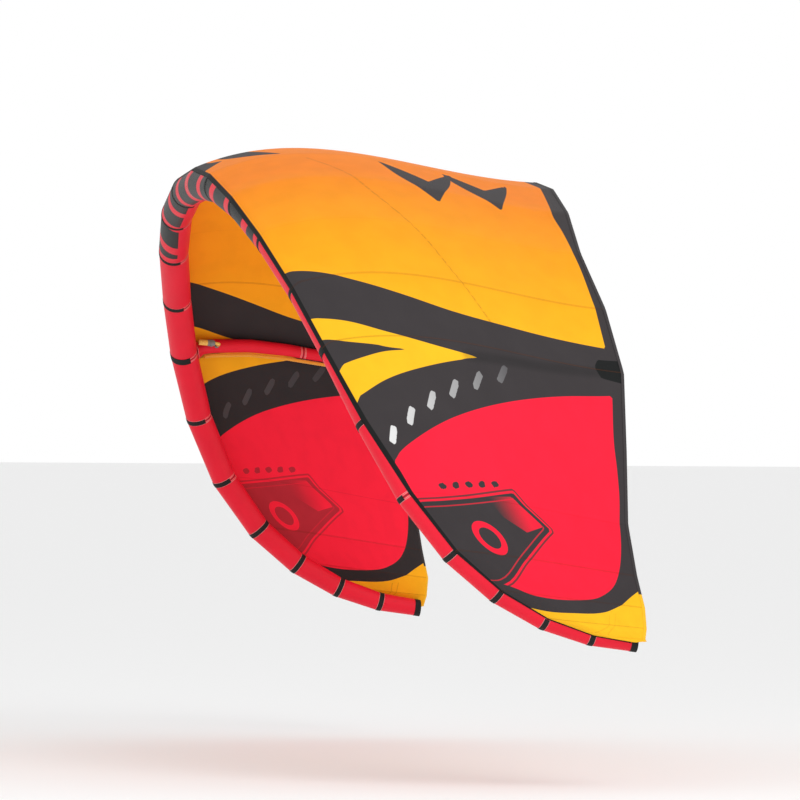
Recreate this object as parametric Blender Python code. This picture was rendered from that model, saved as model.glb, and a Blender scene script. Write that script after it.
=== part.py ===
"""Inflatable leading-edge kite: 9 square metres, one arched leading edge and three struts.

Axes: X across the span, Y from the leading edge back to the trailing edge, Z up.
The kite is held in its flying arch, apex up. The origin is the middle of the leading
edge, on the centre line of its tube.
"""
import math

import bmesh
import bpy
from mathutils import Matrix, Vector

# ---- driving dimensions, metres and degrees ----
PANEL_LENGTHS = (0.44, 0.47, 0.44, 0.43, 0.395, 0.41, 0.375, 0.32, 0.27, 0.245, 0.225, 0.21)
HEADING_DEG = (0, 13, 30, 46.5, 70, 90, 95)    # how far the arch has turned down, centre to tip
SWEEP_DEG = (0, 3.4, 10, 13.6, 25.6, 54, 86)   # how far the leading edge is swept back
TWIST_DEG = (0.8, -0.4, -1, -7.7)              # trailing edge raised against the chord
CHORD = (1.61, 1.55, 1.41, 1.32, 1.045, 0.685, 0.025)
FLARE = (0.0, 0.065, 0.13, -0.01)              # trailing edge shifted outboard
TIP_LIFTS, TIP_CLEAR = 0.78, 0.94              # the trailing edge rises outside the tube here
TUBE_CENTRE_R, TUBE_TAPER, TUBE_TIP_TAPER = 0.0800, 0.0237, 0.0153
CAMBER = 0.47                                  # shape factor of the canopy profile
SEAM_DEG = (111, 111, 111, 108, 92, 78, 84)    # where the canopy is sewn on, round the tube

CLOTH = 0.002          # canopy thickness
WALL = 0.0012          # sleeve cloth
FILM = 0.0020          # bladder film
GAP = 0.0004           # clearance between neighbours
SNUG = 0.0016          # sleeve to bladder, so that the facets of both clear each other
TUBE_SIDES = 16
BLADDER_SIDES = 10
CHORD_STEPS = 14
HEM_WIDTH, HEM_THICK = 0.010, 0.0026
TIP_COLLAR = 0.030

STRUT_STATIONS = (0, 5)
STRUT_FRONT_R, STRUT_REAR_R = 0.038, 0.021
STRUT_END = 0.955      # fraction of the chord
STRUT_SEAM = 0.0012    # strut sleeve to canopy
STRUT_FRONT_DROP = 0.006   # the sleeve leaves the canopy a little where they meet the tube
ROPE_R = 0.0095
ROPE_ANGLE = math.radians(48)

VALVE_FLANGE_R, VALVE_NECK_R, VALVE_BORE_R, VALVE_NECK_H = 0.022, 0.010, 0.0075, 0.014
HINGE_X, HINGE_Z = 0.0235, 0.0100

COLOURS = {
    "tube_red": (0.78, 0.02, 0.06), "canopy_orange": (0.93, 0.38, 0.03),
    "canopy_red": (0.86, 0.06, 0.11), "trim_black": (0.03, 0.035, 0.035),
    "film_orange": (0.80, 0.30, 0.04), "hose_yellow": (0.95, 0.62, 0.16),
    "fitting_grey": (0.26, 0.28, 0.28), "rope_orange": (0.82, 0.33, 0.05),
}


def clear_scene():
    for obj in list(bpy.data.objects):
        bpy.data.objects.remove(obj, do_unlink=True)


def ramp(keys, u):
    """Smooth curve through evenly spaced keys, for u from 0 to 1."""
    pts = [2 * keys[0] - keys[1], *keys, 2 * keys[-1] - keys[-2]]
    x = min(max(u, 0.0), 1.0) * (len(keys) - 1)
    i = min(int(x), len(keys) - 2)
    t = x - i
    a, b, c, d = pts[i:i + 4]
    return 0.5 * (2 * b + (c - a) * t + (2 * a - 5 * b + 4 * c - d) * t * t
                  + (3 * b - a - 3 * c + d) * t ** 3)


# ---- the kite's shape, worked out once at each seam station ----
class Station:
    """One rib of the right half: tube centre, tube radius, local axes, trailing edge."""

    def __init__(self, centre, u):
        phi = math.radians(ramp(HEADING_DEG, u))
        sweep = math.radians(ramp(SWEEP_DEG, u))
        twist = math.radians(ramp(TWIST_DEG, u))
        self.centre, self.u = centre, u
        self.tangent = Vector((math.cos(phi) * math.cos(sweep), math.sin(sweep),
                               -math.sin(phi) * math.cos(sweep)))
        self.normal = Vector((math.sin(phi), 0, math.cos(phi)))
        self.aft = self.normal.cross(self.tangent)
        self.radius = TUBE_CENTRE_R - TUBE_TAPER * u - TUBE_TIP_TAPER * u ** 5
        along = Vector((math.cos(phi), 0, -math.sin(phi)))
        self.chord = ramp(CHORD, u)
        chord_dir = Vector((0, math.cos(twist), 0)) + self.normal * math.sin(twist)
        self.trailing = centre + chord_dir * self.chord + along * ramp(FLARE, u)
        lift = min(max((u - TIP_LIFTS) / (TIP_CLEAR - TIP_LIFTS), 0.0), 1.0)
        self.trailing += self.normal * (1.4 * self.radius * lift * lift * (3 - 2 * lift))

    def on_tube(self, angle, radius):
        return self.centre + (self.aft * math.cos(angle) + self.normal * math.sin(angle)) * radius

    def seam(self):
        return self.on_tube(math.radians(ramp(SEAM_DEG, self.u)), self.radius + GAP)

    def canopy(self, s, lift=0.0):
        """Point on the underside of the canopy, s = 0 at the seam and 1 at the trailing edge."""
        front = self.seam()
        bulge = CAMBER * max(self.chord, 0.25) * s * (1 - s) ** 2
        return front.lerp(self.trailing, s) + self.normal * (bulge + lift)

    def cloth(self, s):
        """The underside as the canopy mesh has it, straight between its chord steps."""
        x = s * CHORD_STEPS
        i = min(int(x), CHORD_STEPS - 1)
        return self.canopy(i / CHORD_STEPS).lerp(self.canopy((i + 1) / CHORD_STEPS), x - i)

    def mirrored(self):
        twin = Station.__new__(Station)
        twin.__dict__.update(self.__dict__)
        for key in ("centre", "tangent", "normal", "aft", "trailing"):
            v = getattr(self, key)
            setattr(twin, key, Vector((-v.x, v.y, v.z)))
        return twin


def make_stations():
    """Walk along the leading edge and drop a station at each panel seam."""
    total = sum(PANEL_LENGTHS)
    steps = 480
    here, walked, found = Vector((0, 0, 0)), 0.0, []
    marks = [sum(PANEL_LENGTHS[:i]) for i in range(len(PANEL_LENGTHS) + 1)]
    for i in range(steps + 1):
        u = walked / total
        while marks and walked >= marks[0] - 1e-6:
            back = walked - marks[0]
            spot = Station(here, u)
            found.append(Station(here - spot.tangent * back, marks.pop(0) / total))
        middle = Station(here, min(u + 0.5 / steps, 1.0))
        here = here + middle.tangent * (total / steps)
        walked += total / steps
    return found


def between(a, b, t):
    """A station part-way from a to b, on the straight panel between them."""
    mid = Station.__new__(Station)
    for key in ("centre", "tangent", "normal", "aft", "trailing"):
        setattr(mid, key, getattr(a, key).lerp(getattr(b, key), t))
    for key in ("radius", "chord", "u"):
        setattr(mid, key, getattr(a, key) * (1 - t) + getattr(b, key) * t)
    return mid


def trimmed(stations, gap=GAP):
    """The same run of stations with its first and last drawn in by a small gap."""
    first_len = (stations[1].centre - stations[0].centre).length
    last_len = (stations[-1].centre - stations[-2].centre).length
    return ([between(stations[0], stations[1], gap / first_len)] + stations[1:-1]
            + [between(stations[-1], stations[-2], gap / last_len)])


# ---- mesh helpers ----
def material(slot):
    mat = bpy.data.materials.get(slot)
    if mat is None:
        mat = bpy.data.materials.new(slot)
        mat.use_nodes = True
        bsdf = mat.node_tree.nodes["Principled BSDF"]
        bsdf.inputs["Base Color"].default_value = (*COLOURS[slot], 1)
        bsdf.inputs["Roughness"].default_value = 0.6
        mat.diffuse_color = (*COLOURS[slot], 1)
    return mat


def add_object(name, slot, verts, faces, smooth=True, origin=Vector()):
    """Make a closed mesh object with outward faces and its origin at a given point."""
    mesh = bpy.data.meshes.new(name)
    bm = bmesh.new()
    made = [bm.verts.new(Vector(v) - origin) for v in verts]
    for face in faces:
        bm.faces.new([made[i] for i in face])
    bmesh.ops.recalc_face_normals(bm, faces=bm.faces[:])
    for face in bm.faces:
        face.smooth = smooth
    bm.to_mesh(mesh)
    bm.free()
    own = material(slot).copy()
    own.name = name
    mesh.materials.append(own)
    obj = bpy.data.objects.new(name, mesh)
    obj.location = origin
    bpy.context.scene.collection.objects.link(obj)
    return obj


def ring(centre, x_axis, y_axis, radius, sides):
    return [centre + (x_axis * math.cos(2 * math.pi * i / sides)
                      + y_axis * math.sin(2 * math.pi * i / sides)) * radius for i in range(sides)]


def loft(rings, closed_loop):
    """Faces joining rings of equal length; closed_loop joins the last ring to the first."""
    sides, count = len(rings[0]), len(rings)
    faces = []
    for r in range(count if closed_loop else count - 1):
        a, b = r * sides, ((r + 1) % count) * sides
        for i in range(sides):
            j = (i + 1) % sides
            faces.append((a + i, a + j, b + j, b + i))
    return faces


def hollow(name, slot, outer, inner):
    """A pipe: outer rings one way, inner rings back, joined into one closed skin."""
    rings = outer + inner[::-1]
    verts = [v for r in rings for v in r]
    return add_object(name, slot, verts, loft(rings, True))


def solid(name, slot, rings, smooth=True, origin=Vector()):
    """A solid through rings, capped at both ends."""
    sides = len(rings[0])
    faces = loft(rings, False)
    faces.append(tuple(range(sides))[::-1])
    faces.append(tuple(range(len(rings) * sides - sides, len(rings) * sides)))
    return add_object(name, slot, [v for r in rings for v in r], faces, smooth, origin)


def turned(name, slot, frame, profile, sides=16, origin=Vector()):
    """Spin a closed (radius, height) profile round the z axis of a frame matrix."""
    rings = []
    for radius, height in profile:
        rings.append([frame @ Vector((radius * math.cos(2 * math.pi * i / sides),
                                      radius * math.sin(2 * math.pi * i / sides), height))
                      for i in range(sides)])
    return add_object(name, slot, [v for r in rings for v in r], loft(rings, True), True, origin)


def paddle(radius, reach, half_width, sides=20):
    """A disc outline with a straight tab out to +X, as points round the centre."""
    points = []
    for i in range(sides):
        angle = 2 * math.pi * i / sides
        c, s = math.cos(angle), abs(math.sin(angle))
        tab = min(reach / c, half_width / s if s > 1e-6 else 1e9) if c > 1e-6 else 0
        size = max(radius, tab)
        points.append((size * math.cos(angle), size * math.sin(angle)))
    return points


def slab(name, slot, frame, outline, low, high, hole=None, origin=Vector()):
    """An extruded outline, with an optional round hole through it."""
    rings = [[frame @ Vector((x, y, z)) for x, y in outline] for z in (low, high)]
    if hole is None:
        return solid(name, slot, rings, False, origin)
    inner = [[frame @ Vector((hole * x / math.hypot(x, y), hole * y / math.hypot(x, y), z))
              for x, y in outline] for z in (high, low)]
    rings += inner
    return add_object(name, slot, [v for r in rings for v in r], loft(rings, True), False, origin)


def cord(name, slot, points, radius, resolution=2):
    curve = bpy.data.curves.new(name, "CURVE")
    curve.dimensions = "3D"
    curve.bevel_depth = radius
    curve.bevel_resolution = resolution
    curve.use_fill_caps = True
    curve.render_resolution_u = 0
    spline = curve.splines.new("POLY")
    spline.points.add(len(points) - 1)
    for spot, point in zip(spline.points, points):
        spot.co = (*point, 1)
    own = material(slot).copy()
    own.name = name
    curve.materials.append(own)
    obj = bpy.data.objects.new(name, curve)
    bpy.context.scene.collection.objects.link(obj)
    return obj


# ---- leading edge ----
def tube_rings(stations, shrink, sides):
    return [ring(s.centre, s.aft, s.normal, s.radius - shrink, sides) for s in stations]


def leading_edge_sleeves(stations, side):
    """Red sleeve of the leading edge, two panels to a piece."""
    for first in range(0, 12, 2):
        run = trimmed(stations[first:first + 3])
        hollow(f"le_sleeve_{side}_{first // 2 + 1}", "tube_red",
               tube_rings(run, 0, TUBE_SIDES), tube_rings(run, WALL, TUBE_SIDES))


def leading_edge_bladder(right, left):
    """One long air bladder through both halves, drawn in to a small hole at each tip."""
    run = left[:0:-1] + right

    def wall(depth):
        rings = tube_rings(run, WALL + SNUG + depth, BLADDER_SIDES)
        for end, neighbour in ((0, 1), (-1, -2)):
            reach = (run[end].centre - run[neighbour].centre).length

            def closing(distance, radius):
                s = between(run[end], run[neighbour], distance / reach)
                return ring(s.centre, s.aft, s.normal, radius, BLADDER_SIDES)

            full = run[end].radius - WALL - SNUG - depth
            new = [closing(0.008 + depth, 0.005), closing(0.012 + depth, full * 0.8),
                   closing(0.022 + depth, full)]
            rings = new + rings[1:] if end == 0 else rings[:-1] + new[::-1]
        return rings

    hollow("le_bladder", "film_orange", wall(0), wall(FILM))


def tip_collar(stations, side):
    """Black collar sewn round the open end of the leading edge."""
    a, b = stations[-2], stations[-1]
    length = (b.centre - a.centre).length
    run = [between(b, a, TIP_COLLAR / length), b]
    hollow(f"tip_collar_{side}", "trim_black",
           tube_rings(run, -0.0013, TUBE_SIDES), tube_rings(run, -GAP, TUBE_SIDES))


# ---- canopy ----
def canopy_panel(name, slot, stations, rear=1.0):
    """One cloth panel: a loft through the stations, with a real thickness."""
    rings = []
    for s in stations:
        under = [s.canopy(rear * i / CHORD_STEPS) for i in range(CHORD_STEPS + 1)]
        over = [s.canopy(rear * i / CHORD_STEPS, CLOTH) for i in range(CHORD_STEPS + 1)]
        rings.append(under + over[::-1])
    solid(name, slot, rings)


def canopy(stations, side):
    a, b = stations[-2], stations[-1]
    length = (b.centre - a.centre).length
    tip = stations[:-1] + [between(b, a, (TIP_COLLAR + 10 * GAP) / length)]
    for number, (first, last) in enumerate(((0, 3), (3, 5), (5, 8), (8, 12)), 1):
        slot = "canopy_orange" if number < 3 or number == 4 else "canopy_red"
        canopy_panel(f"canopy_{side}_{number}", slot, trimmed(tip[first:last + 1]))
    return tip


def trailing_hem(stations, side):
    """Webbing hem behind the cloth, from the centre to the tip."""
    rings = []
    for s in trimmed(stations):
        back = (s.trailing - s.canopy(0.9)).normalized()
        base = s.trailing + back * GAP
        up = s.normal * HEM_THICK
        rings.append([base, base + back * HEM_WIDTH, base + back * HEM_WIDTH + up, base + up])
    solid(f"trailing_hem_{side}", "trim_black", rings, False)


# ---- struts ----
def strut_frame(s, t):
    """Axis point, strut radius and unit directions at chord fraction t."""
    radius = STRUT_FRONT_R + (STRUT_REAR_R - STRUT_FRONT_R) * t
    chord = s.trailing - s.seam()
    along = (chord - s.normal * chord.dot(s.normal)).normalized()
    across = along.cross(s.normal)
    drop = STRUT_SEAM + STRUT_FRONT_DROP * max(0.0, 1 - t * CHORD_STEPS / 4)
    return s.cloth(t) - s.normal * (radius + drop), radius, along, across, s.normal


def pushed_clear(point, along, s, radius):
    """Slide a point back along the strut until it clears the leading-edge tube."""
    rel = point - s.centre
    rel -= s.tangent * rel.dot(s.tangent)
    flat = along - s.tangent * along.dot(s.tangent)
    a, b, c = flat.dot(flat), 2 * rel.dot(flat), rel.dot(rel) - radius ** 2
    if c >= 0 and b >= 0:
        return point
    inside = b * b - 4 * a * c
    if inside < 0:
        return point
    return point + along * ((-b + math.sqrt(inside)) / (2 * a))


def strut_rows(s):
    """Chord fractions of a strut's rings behind the tube, at the canopy's own steps."""
    steps = [2, 4, 6, 8, *range(9, CHORD_STEPS)]
    return [s.radius / s.chord + 0.05] + [i / CHORD_STEPS for i in steps] + [STRUT_END]


def strut_wall(s, depth, sides):
    """Rings of one wall of a strut; the first ring follows the leading-edge tube."""
    rings = []
    for number, t in enumerate([0.35 * s.radius / s.chord] + strut_rows(s)):
        centre, radius, along, across, up = strut_frame(s, t)
        r = ring(centre, across, up, radius - depth, sides)
        if number == 0:
            r = [pushed_clear(p, along, s, s.radius + 6 * GAP + 0.5 * depth) for p in r]
        rings.append(r)
    return rings


def strut(name, s):
    hollow(f"strut_sleeve_{name}", "tube_red", strut_wall(s, 0, TUBE_SIDES),
           strut_wall(s, WALL, TUBE_SIDES))
    outer = strut_wall(s, WALL + SNUG, BLADDER_SIDES)[1:]
    inner = strut_wall(s, WALL + SNUG + FILM, BLADDER_SIDES)[1:]
    hollow(f"strut_bladder_{name}", "film_orange", outer, inner)
    centre, radius, along, across, up = strut_frame(s, STRUT_END)
    cap = [ring(centre + along * (GAP + z), across, up, radius * k, TUBE_SIDES)
           for z, k in ((0, 1.0), (0.008, 0.97), (0.015, 0.82), (0.019, 0.5))]
    solid(f"strut_cap_{name}", "trim_black", cap)


def grab_rope(name, s, outboard):
    """Braided rope sewn along the lower side of a side strut."""
    points = []
    for t in strut_rows(s)[:-1]:
        centre, radius, along, across, up = strut_frame(s, t)
        out = across if across.dot(outboard) > 0 else -across
        reach = radius + ROPE_R + 8 * GAP
        points.append(centre + (out * math.sin(ROPE_ANGLE) - up * math.cos(ROPE_ANGLE)) * reach)
    cord(f"grab_rope_{name}", "rope_orange", points, ROPE_R)


# ---- valves and inflation hoses ----
def local_frame(origin, z_axis, x_hint):
    z = z_axis.normalized()
    y = z.cross(x_hint).normalized()
    x = y.cross(z)
    m = Matrix((x, y, z)).transposed().to_4x4()
    m.translation = origin
    return m


def valve(name, s, report):
    """Flange and neck, tether ring that turns on the neck, and a cap that flips open."""
    frame = local_frame(s.centre - s.normal * (s.radius + GAP), -s.normal, s.tangent)
    neck, flange = VALVE_NECK_R, VALVE_FLANGE_R
    turned(f"{name}_base", "fitting_grey", frame,
           [(VALVE_BORE_R, 0), (flange, 0), (flange, 0.0015), (flange * 0.8, 0.0024),
            (neck + 0.0006, 0.0026), (neck, 0.0034), (neck, VALVE_NECK_H), (VALVE_BORE_R, VALVE_NECK_H)])
    origin = frame.translation.copy()
    slab(f"{name}_ring", "fitting_grey", frame, paddle(neck + 0.004, HINGE_X, 0.004),
         0.0040, 0.0062, neck + GAP, origin)
    hinge = frame @ Vector((HINGE_X, 0, HINGE_Z))
    slab(f"{name}_cap", "fitting_grey", frame, paddle(neck + 0.0025, HINGE_X + 0.001, 0.0035),
         VALVE_NECK_H + GAP, VALVE_NECK_H + 0.0032, None, hinge)
    report.append((f"{name}_ring", origin, frame.to_3x3() @ Vector((0, 0, 1))))
    report.append((f"{name}_cap", hinge, frame.to_3x3() @ Vector((0, 1, 0))))
    return frame


def barrel(name, slot, start, end, profile, origin=Vector()):
    """Spin a (radius, fraction) profile along the line from start to end."""
    axis = end - start
    frame = local_frame(start, axis, Vector((0, 0, 1)) if abs(axis.normalized().z) < 0.9
                        else Vector((1, 0, 0)))
    return turned(name, slot, frame, [(r, f * axis.length) for r, f in profile], 16, origin)


def hose_set(name, s, inboard, report):
    """Wide hose from the leading edge, locking collar, narrow hose, elbow on the strut."""
    centre, radius, along, across, up = strut_frame(s, 0.14)
    side = across if across.dot(inboard) > 0 else -across
    level = s.centre + s.normal * 0.022 + side * 0.060
    at = math.sqrt(s.radius ** 2 - 0.022 ** 2)
    flat = along - s.normal * along.dot(s.normal)
    start, mid, rear = level + flat * (at + 0.0035), level + flat * 0.112, level + flat * 0.150
    slope = (strut_frame(s, 0.17)[0] - strut_frame(s, 0.11)[0]).normalized()
    out = side * 0.72 - up * 0.70
    out = (out - slope * out.dot(slope)).normalized()
    pad = centre + out * (radius + 3 * GAP)
    top = pad + out * 0.012

    barrel(f"hose_wide_{name}", "hose_yellow", start, mid,
           [(0.0118, 0), (0.0145, 0), (0.0145, 1), (0.0118, 1)])
    step = (rear - mid).normalized()
    barrel(f"hose_lock_body_{name}", "fitting_grey", mid + step * GAP, rear,
           [(0.006, 0), (0.0150, 0), (0.0165, 0.12), (0.0165, 0.36), (0.0140, 0.38),
            (0.0140, 0.72), (0.0165, 0.74), (0.0120, 1), (0.006, 1)])
    low, high = mid.lerp(rear, 0.405), mid.lerp(rear, 0.715)
    barrel(f"hose_lock_collar_{name}", "fitting_grey", low, high,
           [(0.0144, 0), (0.0178, 0), (0.0186, 0.2), (0.0186, 0.8), (0.0178, 1), (0.0144, 1)], low)
    report.append((f"hose_lock_collar_{name}", low, step))

    bend = []
    a, d = rear + step * 0.0012, top + out * 0.0012
    b, c = a + step * 0.030, d + out * 0.022
    for i in range(13):
        t = i / 12
        bend.append(a * (1 - t) ** 3 + b * 3 * t * (1 - t) ** 2 + c * 3 * t * t * (1 - t) + d * t ** 3)
    cord(f"hose_narrow_{name}", "hose_yellow", bend, 0.0075)
    frame = local_frame(pad, out, slope)
    turned(f"hose_elbow_{name}", "fitting_grey", frame,
           [(0.003, 0), (0.0135, 0), (0.0135, 0.0018), (0.0095, 0.0030),
            (0.0090, 0.0100), (0.0070, 0.0120), (0.003, 0.0120)])


def print_joints(report):
    """Print where each joint turns, for the record."""
    for name, spot, axis in report:
        print("joint", name, [round(v, 5) for v in spot], [round(v, 5) for v in axis])


def main():
    clear_scene()
    report = []
    right = make_stations()
    left = [s.mirrored() for s in right]
    for side, stations in (("right", right), ("left", left)):
        leading_edge_sleeves(stations, side)
        tip_collar(stations, side)
        tip = canopy(stations, side)
        trailing_hem(tip, side)
    leading_edge_bladder(right, left)
    for name, s, outboard in (("centre", right[0], Vector((-1, 0, 0))),
                              ("right", right[5], right[5].tangent),
                              ("left", left[5], left[5].tangent)):
        strut(name, s)
        hose_set(name, s, -outboard, report)
        if name != "centre":
            grab_rope(name, s, outboard)
    valve("inflate_valve", between(right[2], right[3], 0.5), report)
    valve("deflate_valve", between(right[10], right[11], 0.5), report)
    print_joints(report)


main()
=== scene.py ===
import math

import bmesh
import bpy
import numpy as np
from mathutils import Matrix, Vector


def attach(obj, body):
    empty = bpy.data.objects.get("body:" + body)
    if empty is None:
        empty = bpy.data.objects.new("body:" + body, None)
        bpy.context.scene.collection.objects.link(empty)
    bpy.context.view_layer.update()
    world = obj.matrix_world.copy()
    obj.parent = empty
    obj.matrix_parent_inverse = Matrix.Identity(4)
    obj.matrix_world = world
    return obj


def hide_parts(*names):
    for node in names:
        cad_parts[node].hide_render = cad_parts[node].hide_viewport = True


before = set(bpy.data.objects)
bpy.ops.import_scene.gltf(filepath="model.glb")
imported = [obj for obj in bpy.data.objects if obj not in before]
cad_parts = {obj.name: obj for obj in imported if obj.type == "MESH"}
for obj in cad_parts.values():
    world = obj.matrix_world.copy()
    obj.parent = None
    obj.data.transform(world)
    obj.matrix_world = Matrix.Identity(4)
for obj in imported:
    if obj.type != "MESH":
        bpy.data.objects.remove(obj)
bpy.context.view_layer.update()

print("frame loaded:", len(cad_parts), "parts")

# camera, level with the kite and a little ahead of its side
cameraSetup = {
    "azimuth": 78.0446, "elevation": 0.1279, "roll": 0.4709, "distance": 33.004,
    "target": (0.0, 1.04257, -1.01814), "lens": 311.933, "shift": (-0.020714, -0.000306),
}


def makeCamera(setup):
    azimuth, elevation, roll = (math.radians(setup[k]) for k in ("azimuth", "elevation", "roll"))
    back = Vector((math.sin(azimuth) * math.cos(elevation),
                   -math.cos(azimuth) * math.cos(elevation), math.sin(elevation)))
    level = (-back).cross(Vector((0, 0, 1))).normalized()
    upright = level.cross(-back)
    right = level * math.cos(roll) + upright * math.sin(roll)
    up = upright * math.cos(roll) - level * math.sin(roll)
    data = bpy.data.cameras.new("camera")
    data.lens, data.sensor_width = setup["lens"], 36
    data.shift_x, data.shift_y = setup["shift"]
    data.clip_start, data.clip_end = 1, 300
    camera = bpy.data.objects.new("camera", data)
    bpy.context.scene.collection.objects.link(camera)
    turn = Matrix((right, up, back)).transposed().to_4x4()
    camera.matrix_world = Matrix.Translation(Vector(setup["target"]) + back * setup["distance"]) @ turn
    bpy.context.scene.camera = camera


makeCamera(cameraSetup)

# the kite's own lines, the same as its solids are drawn from
kiteShape = {
    "panels": (0.44, 0.47, 0.44, 0.43, 0.395, 0.41, 0.375, 0.32, 0.27, 0.245, 0.225, 0.21),
    "heading": (0, 13, 30, 46.5, 70, 90, 95),
    "sweep": (0, 3.4, 10, 13.6, 25.6, 54, 86),
    "twist": (0.8, -0.4, -1, -7.7),
    "chord": (1.61, 1.55, 1.41, 1.32, 1.045, 0.685, 0.025),
    "flare": (0.0, 0.065, 0.13, -0.01),
    "seam": (111, 111, 111, 108, 92, 78, 84),       # where the cloth leaves the tube, degrees
    "wrap": (134, 145, 155, 162, 164, 163, 159, 148, 114, 101, 88, 86, 92),   # and laps round it
    "tube": (0.0800, 0.0237, 0.0153), "camber": 0.47, "lift": (0.78, 0.94),
    "lapShare": 0.08,                               # the lap counts as this share of the chord
    "chordScale": 1.45,                             # metres of cloth in one chord, for the colour blocks
    "gap": 0.0004, "skinLift": 0.0006, "fill": 0.0045, "walkSteps": 480, "chordSteps": 14,
}
panelCount = len(kiteShape["panels"])
spanTotal = sum(kiteShape["panels"])
clothEnd = panelCount * 0.9865                      # the cloth stops just short of the tip
sideSigns = {"left": -1, "right": 1}
seamMarks = [sum(kiteShape["panels"][:i]) for i in range(panelCount + 1)]


def ramp(keys, u):
    pts = [2 * keys[0] - keys[1], *keys, 2 * keys[-1] - keys[-2]]
    x = min(max(u, 0.0), 1.0) * (len(keys) - 1)
    i = min(int(x), len(keys) - 2)
    t = x - i
    a, b, c, d = pts[i:i + 4]
    return 0.5 * (2 * b + (c - a) * t + (2 * a - 5 * b + 4 * c - d) * t * t
                  + (3 * b - a - 3 * c + d) * t ** 3)


def ribAt(centre, u):
    shape = kiteShape
    phi, sweep, twist = (math.radians(ramp(shape[k], u)) for k in ("heading", "sweep", "twist"))
    rib = {"centre": centre}
    rib["tangent"] = Vector((math.cos(phi) * math.cos(sweep), math.sin(sweep),
                             -math.sin(phi) * math.cos(sweep)))
    rib["normal"] = Vector((math.sin(phi), 0, math.cos(phi)))
    rib["aft"] = rib["normal"].cross(rib["tangent"])
    rib["radius"] = shape["tube"][0] - shape["tube"][1] * u - shape["tube"][2] * u ** 5
    rib["chord"] = ramp(shape["chord"], u)
    rib["seam"], rib["wrap"] = math.radians(ramp(shape["seam"], u)), math.radians(ramp(shape["wrap"], u))
    chordwise = Vector((0, math.cos(twist), 0)) + rib["normal"] * math.sin(twist)
    trailing = centre + chordwise * rib["chord"]
    trailing += Vector((math.cos(phi), 0, -math.sin(phi))) * ramp(shape["flare"], u)
    first, last = shape["lift"]
    lift = min(max((u - first) / (last - first), 0.0), 1.0)
    rib["trailing"] = trailing + rib["normal"] * (1.4 * rib["radius"] * lift * lift * (3 - 2 * lift))
    return rib


def walkRibs():
    steps, here, found, marks = kiteShape["walkSteps"], Vector((0, 0, 0)), [], list(seamMarks)
    for i in range(steps + 1):
        walked = spanTotal * i / steps
        while marks and walked >= marks[0] - 1e-6:
            spot = ribAt(here, i / steps)
            mark = marks.pop(0)
            found.append(ribAt(here - spot["tangent"] * (walked - mark), mark / spanTotal))
        middle = ribAt(here, min((i + 0.5) / steps, 1.0))
        here = here + middle["tangent"] * (spanTotal / steps)
    return found


ribs = walkRibs()


def tubePoint(rib, angle, radius):
    return rib["centre"] + (rib["aft"] * math.cos(angle) + rib["normal"] * math.sin(angle)) * radius


def skinPoint(rib, s, lift):
    if s < 0:                                        # lapped round the tube
        angle = rib["seam"] + (rib["wrap"] - rib["seam"]) * min(-s / kiteShape["lapShare"], 1)
        return tubePoint(rib, angle, rib["radius"] + lift + kiteShape["skinLift"])
    front = tubePoint(rib, rib["seam"], rib["radius"] + kiteShape["gap"])
    bulge = kiteShape["camber"] * max(rib["chord"], 0.25) * s * (1 - s) ** 2
    return front.lerp(rib["trailing"], s) + rib["normal"] * (bulge + lift)


def bothSides(point, v):
    return Vector((-point.x, point.y, point.z)) if v < 0 else point


def panelOf(v):
    i = min(int(abs(v)), panelCount - 1)
    return ribs[i], ribs[i + 1], abs(v) - i


def lapLeft(v, s):
    a, b, t = panelOf(v)
    laps = [(rib["wrap"] - rib["seam"]) * rib["radius"] for rib in (a, b)]
    return (laps[0] * (1 - t) + laps[1] * t) * (1 + s / kiteShape["lapShare"]) if s < 0 else 1.0


def canopyPoint(v, s):
    a, b, t = panelOf(v)
    point = skinPoint(a, s, kiteShape["skinLift"]).lerp(skinPoint(b, s, kiteShape["skinLift"]), t)
    if 0 < s < 1:                                    # each panel fills a little with air
        swell = kiteShape["fill"] * math.sin(math.pi * t) * math.sin(math.pi * s)
        point += a["normal"].lerp(b["normal"], t) * swell
    return bothSides(point, v)


def spanMetres(v):
    i = min(int(abs(v)), panelCount - 1)
    return seamMarks[i] + (abs(v) - i) * kiteShape["panels"][i]


# shader helpers, and the groups that several finishes use
def addNode(tree, kind, **values):
    node = tree.nodes.new(kind)
    for key, value in values.items():
        setattr(node, key, value)
    return node


def calc(tree, operation, a, b=None, c=None):
    node = addNode(tree, "ShaderNodeMath", operation=operation)
    for socket, value in zip(node.inputs, (a, b, c)):
        if isinstance(value, (int, float)):
            socket.default_value = value
        elif value is not None:
            tree.links.new(value, socket)
    return node.outputs[0]


def awayFrom(tree, value, middle):
    return calc(tree, "ABSOLUTE", calc(tree, "SUBTRACT", value, middle))


def remap(tree, value, low, high, toLow=0.0, toHigh=1.0):
    node = addNode(tree, "ShaderNodeMapRange", interpolation_type="SMOOTHSTEP")
    tree.links.new(value, node.inputs["Value"])
    for name, number in (("From Min", low), ("From Max", high), ("To Min", toLow), ("To Max", toHigh)):
        node.inputs[name].default_value = number
    return node.outputs["Result"]


def mixColour(tree, factor, a, b, blend="MIX"):
    node = addNode(tree, "ShaderNodeMix", data_type="RGBA", blend_type=blend)
    for socket, value in ((node.inputs[0], factor), (node.inputs[6], a), (node.inputs[7], b)):
        if isinstance(value, (int, float)):
            socket.default_value = value
        elif isinstance(value, tuple):
            socket.default_value = (*value, 1)
        else:
            tree.links.new(value, socket)
    return node.outputs[2]


def readValue(tree, name):
    return addNode(tree, "ShaderNodeAttribute", attribute_name=name).outputs["Fac"]


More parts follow.
